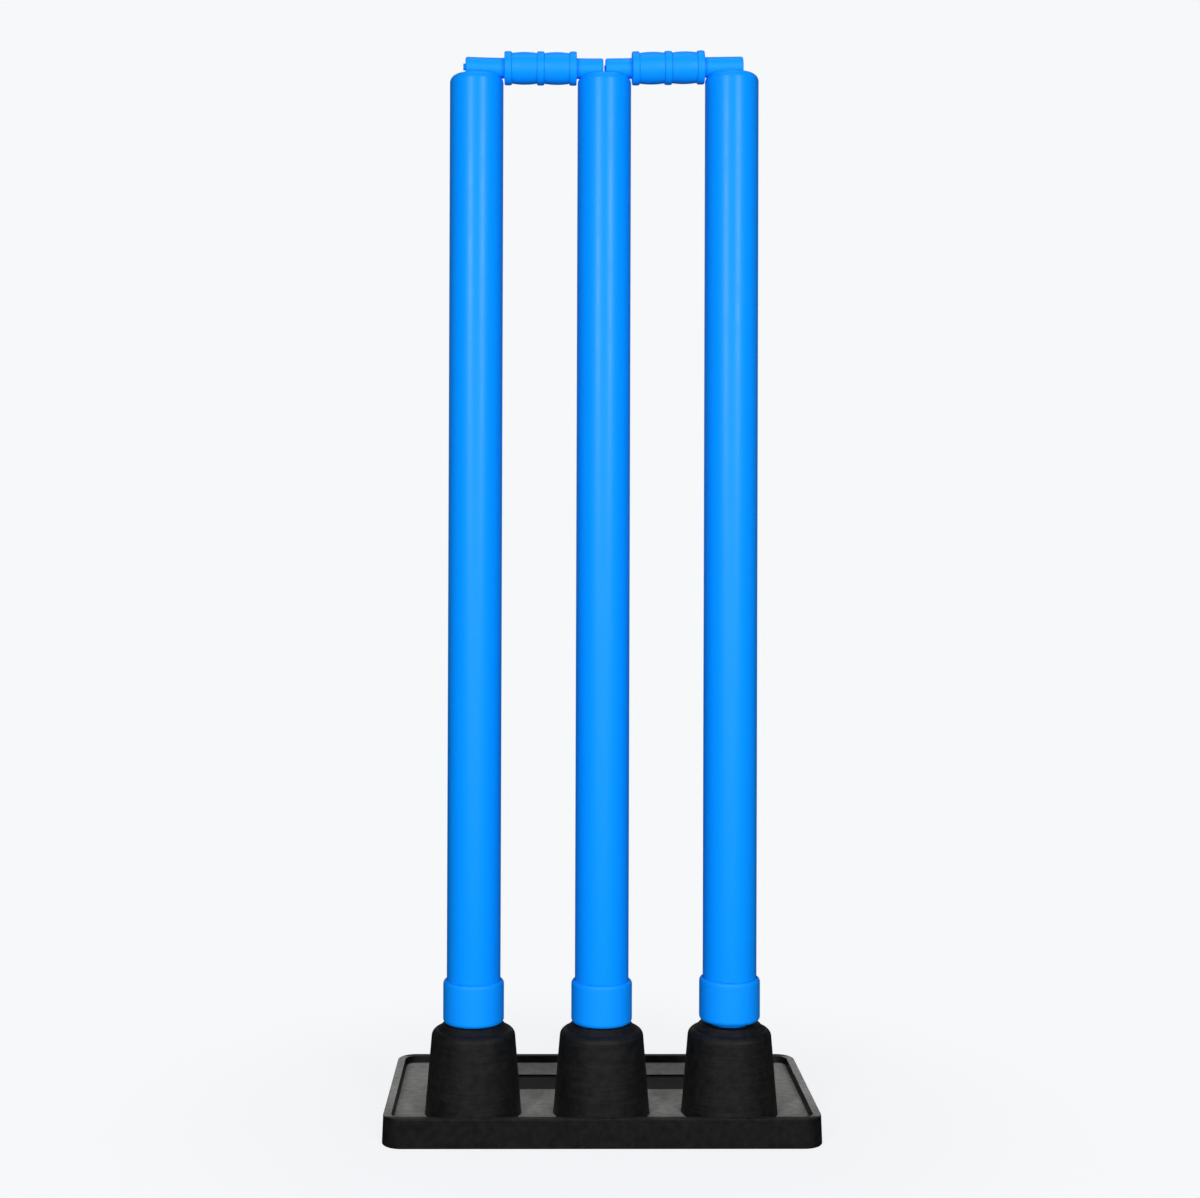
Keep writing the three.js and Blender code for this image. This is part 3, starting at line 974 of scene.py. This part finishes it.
# %% [markdown]
# The sweep comes next. The line is divided finely enough for the rings' edges, each point's radius
# scales the circle that is carried along it, and the ends are capped. The photograph shows one
# spigot bent up a little, so an offset can grow from the barrel's end to the tip.

# %% Bail tree, the sweep
BEND_CURVE = 1.6

spine = add(
    bail_tree,
    "GeometryNodeCurvePrimitiveLine",
    {
        "Start": add(bail_tree, "ShaderNodeCombineXYZ", {"X": known["first"]}),
        "End": add(bail_tree, "ShaderNodeCombineXYZ", {"X": known["last"]}),
    },
)
points = add(bail_tree, "GeometryNodeResampleCurve", {"Curve": spine, "Count": given["Points"]})
circle = add(bail_tree, "GeometryNodeCurvePrimitiveCircle", {"Resolution": given["Sides"], "Radius": 1})
swept = add(
    bail_tree,
    "GeometryNodeCurveToMesh",
    {"Curve": points, "Profile Curve": circle, "Scale": radius, "Fill Caps": True},
)
past_barrel = {0: known["along"], "From Min": known["barrel end"], "From Max": known["last"]}
bend_share = add(bail_tree, "ShaderNodeMapRange", past_barrel)
bend_growth = add(bail_tree, "ShaderNodeMath", {0: bend_share, 1: BEND_CURVE}, operation="POWER")
bend_rise = add(
    bail_tree, "ShaderNodeMath", {0: bend_growth, 1: given["Bend"]}, operation="MULTIPLY"
)
bent = add(
    bail_tree,
    "GeometryNodeSetPosition",
    {"Geometry": swept, "Offset": add(bail_tree, "ShaderNodeCombineXYZ", {"Z": bend_rise})},
)
real = add(bail_tree, "GeometryNodeRealizeInstances", {0: bent})
dressed = add(bail_tree, "GeometryNodeSetMaterial", {0: real, "Material": given["Material"]})
bail_tree.links.new(dressed.outputs[0], result.inputs[0])

# %% [markdown]
# Both bails come from the one tree, whose inputs are in metres. The left bail is turned round, so
# that its long stub points outwards, and its outer spigot has the bend. The right bail slopes with
# the small step between the tops of its stumps.

# %% Bails
BAIL_START = 0.65
SPIGOT_OVERHANG = 7.4
SPIGOT_EDGE = 1.4
LONG_STUB = 1.5
SHORT_STUB = 0.7
STUB_RADIUS = 2.2
BARREL_END_GAP = 0.6
RINGS = 3
RING_WIDTH = 4.9
RING_RADIUS = 10.95
VALLEY_RADIUS = 9.8
BELLY_RADIUS = 10.5
LEFT_BEND = 0.7
BAIL_POINTS = 460
BAIL_SIDES = 64

stump_tops = {name: box_mm(name + "_tube")[1].z for name in STUMPS}
bails = (
    ("left", math.pi, 0, LONG_STUB, LEFT_BEND),
    ("right", 0, SHORT_STUB, 0, 0),
)
for side, turn, inner_stub, outer_stub, bend in bails:
    sizes = {
        "Start": BAIL_START,
        "End": spacing + SPIGOT_OVERHANG,
        "Inner Stub": inner_stub,
        "Outer Stub": outer_stub,
        "Stub Radius": STUB_RADIUS,
        "Spigot Radius": SPIGOT_RADIUS,
        "Spigot Edge": SPIGOT_EDGE,
        "Barrel Start": tube_radius + BARREL_END_GAP,
        "Barrel Length": spacing - 2 * (tube_radius + BARREL_END_GAP),
        "Ring Width": RING_WIDTH,
        "Ring Radius": RING_RADIUS,
        "Valley Radius": VALLEY_RADIUS,
        "Belly Radius": BELLY_RADIUS,
        "Bend": bend,
    }
    values = {title: size * MM for title, size in sizes.items()}
    values |= {"Ring Gaps": float(RINGS - 1), "Points": BAIL_POINTS, "Sides": BAIL_SIDES}
    values["Material"] = bail_plastic
    blank = linked("bail", bpy.data.meshes.new("bail"))
    grown(blank, bail_tree, values)
    bail_mesh = cleaned(evaluated_mesh(blank))
    rise = stump_tops["stump_" + side] - stump_tops["stump_middle"]
    place = (
        Matrix.Translation(Vector((0, row_y, tube_low.z + bail_axis)) * MM)
        @ Matrix.Rotation(turn, 4, "Z")
        @ Matrix.Rotation(-math.atan2(rise, spacing), 4, "Y")
    )
    look = (bail_plastic, side + "_bail", "bail_plastic")
    piece(f"turned_bail_{side}", bail_mesh, place, *look, "bail_" + side)

# %% [markdown]
# ## Background
# The photograph is a cut-out on a pale, faintly cool white. The world shows that white to the
# camera at full strength, and lights the object with only a small share of it. Reflections see a
# dimmed stretch of it behind the stumps, which gives glossy sides their faint light edge.

# %% Background
BACKDROP = "F6F8FA"
ROOM_LEVEL = 0.05
MIRROR_SHARE = 0.25
BACKDROP_HALF_WIDTH = 0.4

world = bpy.data.worlds.new("studio")
bpy.context.scene.world = world
world.use_nodes = True
studio = world.node_tree
studio.nodes.clear()
ray = add(studio, "ShaderNodeLightPath").outputs
direction = add(
    studio, "ShaderNodeSeparateXYZ", {0: add(studio, "ShaderNodeTexCoord").outputs["Generated"]}
).outputs
sideways = add(studio, "ShaderNodeMath", {0: direction["X"]}, operation="ABSOLUTE")
reach_out = add(
    studio, "ShaderNodeMath", {0: direction["Y"], 1: BACKDROP_HALF_WIDTH}, operation="MULTIPLY"
)
behind = add(studio, "ShaderNodeMath", {0: sideways, 1: reach_out}, operation="LESS_THAN")
seen_in = add(
    studio,
    "ShaderNodeMath",
    {0: ray["Is Glossy Ray"], 1: ray["Is Transmission Ray"]},
    operation="MAXIMUM",
)
dimmed = add(studio, "ShaderNodeMath", {0: behind, 1: MIRROR_SHARE}, operation="MULTIPLY")
mirrored = add(studio, "ShaderNodeMath", {0: seen_in, 1: dimmed}, operation="MULTIPLY")
shown = add(studio, "ShaderNodeMath", {0: ray["Is Camera Ray"], 1: mirrored}, operation="MAXIMUM")
strength = add(studio, "ShaderNodeMapRange", {0: shown, "To Min": ROOM_LEVEL, "To Max": 1})
glow = add(studio, "ShaderNodeBackground", {"Color": linear(BACKDROP), "Strength": strength})
add(studio, "ShaderNodeOutputWorld", {"Surface": glow})
print(f"backdrop {BACKDROP}, and {ROOM_LEVEL:.0%} of it lights the object")

# %% [markdown]
# ## Floor
# The floor is a wide sheet of paper. It shows the camera the same white, and near the base a tenth
# of what shows is matt paper, which keeps the soft shadow. Further out that share fades away, so
# the floor has no edge. To everything but the camera it is dim, because a pale floor would throw
# too much light up at black rubber. Its sizes are in metres.

# %% Floor
FLOOR_HALF = 6
FLOOR_NEAR = 0.16
FLOOR_FAR = 0.36
FLOOR_GLOW = 0.9
PAPER = "FAFBFC"
DIM_PAPER = "4A4B4C"

floor_mesh = bpy.data.meshes.new("floor")
corners = [(x * FLOOR_HALF, y * FLOOR_HALF, 0) for x, y in ((-1, -1), (1, -1), (1, 1), (-1, 1))]
floor_mesh.from_pydata(corners, [], [(0, 1, 2, 3)])
floor = linked("floor", floor_mesh)
paper, tree = new_material("seamless paper")
place = add(tree, "ShaderNodeTexCoord").outputs["Object"]
away = add(tree, "ShaderNodeVectorMath", {0: place}, operation="LENGTH").outputs["Value"]
fade = add(
    tree,
    "ShaderNodeMapRange",
    {0: away, "From Min": FLOOR_NEAR, "From Max": FLOOR_FAR, "To Min": FLOOR_GLOW},
    interpolation_type="SMOOTHSTEP",
)
ray = add(tree, "ShaderNodeLightPath").outputs
matt = add(tree, "ShaderNodeBsdfDiffuse", {"Color": linear(PAPER)})
glow = add(tree, "ShaderNodeEmission", {"Color": linear(BACKDROP), "Strength": 1})
seen = add(tree, "ShaderNodeMixShader", {0: fade, 1: matt, 2: glow})
dim = add(tree, "ShaderNodeBsdfDiffuse", {"Color": linear(DIM_PAPER)})
both = add(tree, "ShaderNodeMixShader", {0: ray["Is Camera Ray"], 1: dim, 2: seen})
add(tree, "ShaderNodeOutputMaterial", {"Surface": both})
floor_mesh.materials.append(paper)
print(f"floor {2 * FLOOR_HALF} m wide, shadow kept within {FLOOR_FAR} m")

# %% [markdown]
# ## Lights
# Two softboxes stand left and right of the camera: they light the front, leave the sides darker,
# and their reflections are the two bright bands down the upper half of each stump. A wide low fill
# reaches under the bails and onto the sockets, and a soft fill above lights the tops and the tray.
# Both fills are kept out of reflections, so that the gloss shows the two bands alone.

# %% Lights
def softbox(name, azimuth, distance, height, width, tall, power, target_height, mirrored=True):
    """An area lamp that looks at the stumps, in metres. Azimuth 0 is the camera's side, in degrees."""
    data = bpy.data.lights.new(name, "AREA")
    data.shape = "RECTANGLE"
    data.size = width
    data.size_y = tall
    data.energy = power
    lamp = bpy.data.objects.new(name, data)
    angle = math.radians(azimuth)
    spot = Vector((distance * math.sin(angle), row_y * MM - distance * math.cos(angle), height))
    target = Vector((0, row_y * MM, target_height))
    turn = (target - spot).to_track_quat("-Z", "Y")
    lamp.matrix_world = Matrix.Translation(spot) @ turn.to_matrix().to_4x4()
    lamp.visible_camera = False
    lamp.visible_glossy = mirrored
    bpy.context.scene.collection.objects.link(lamp)


SOFTBOX_AZIMUTH = 26
for side, azimuth in (("left", -SOFTBOX_AZIMUTH), ("right", SOFTBOX_AZIMUTH)):
    softbox(
        "softbox " + side,
        azimuth,
        distance=1.7,
        height=0.92,
        width=0.3,
        tall=0.64,
        power=11.5,
        target_height=0.4,
    )
softbox(
    "wide low fill",
    0,
    distance=1.6,
    height=0.33,
    width=1.5,
    tall=0.6,
    power=20,
    target_height=0.33,
    mirrored=False,
)
softbox(
    "soft fill above",
    180,
    distance=0.35,
    height=2.0,
    width=1.0,
    tall=0.8,
    power=10,
    target_height=0,
    mirrored=False,
)
print("lamps:", [lamp.name for lamp in bpy.data.lights])

# %% [markdown]
# ## Settings
# The Standard view keeps colours as they are written.

# %% Finish
bpy.context.scene.view_settings.view_transform = "Standard"
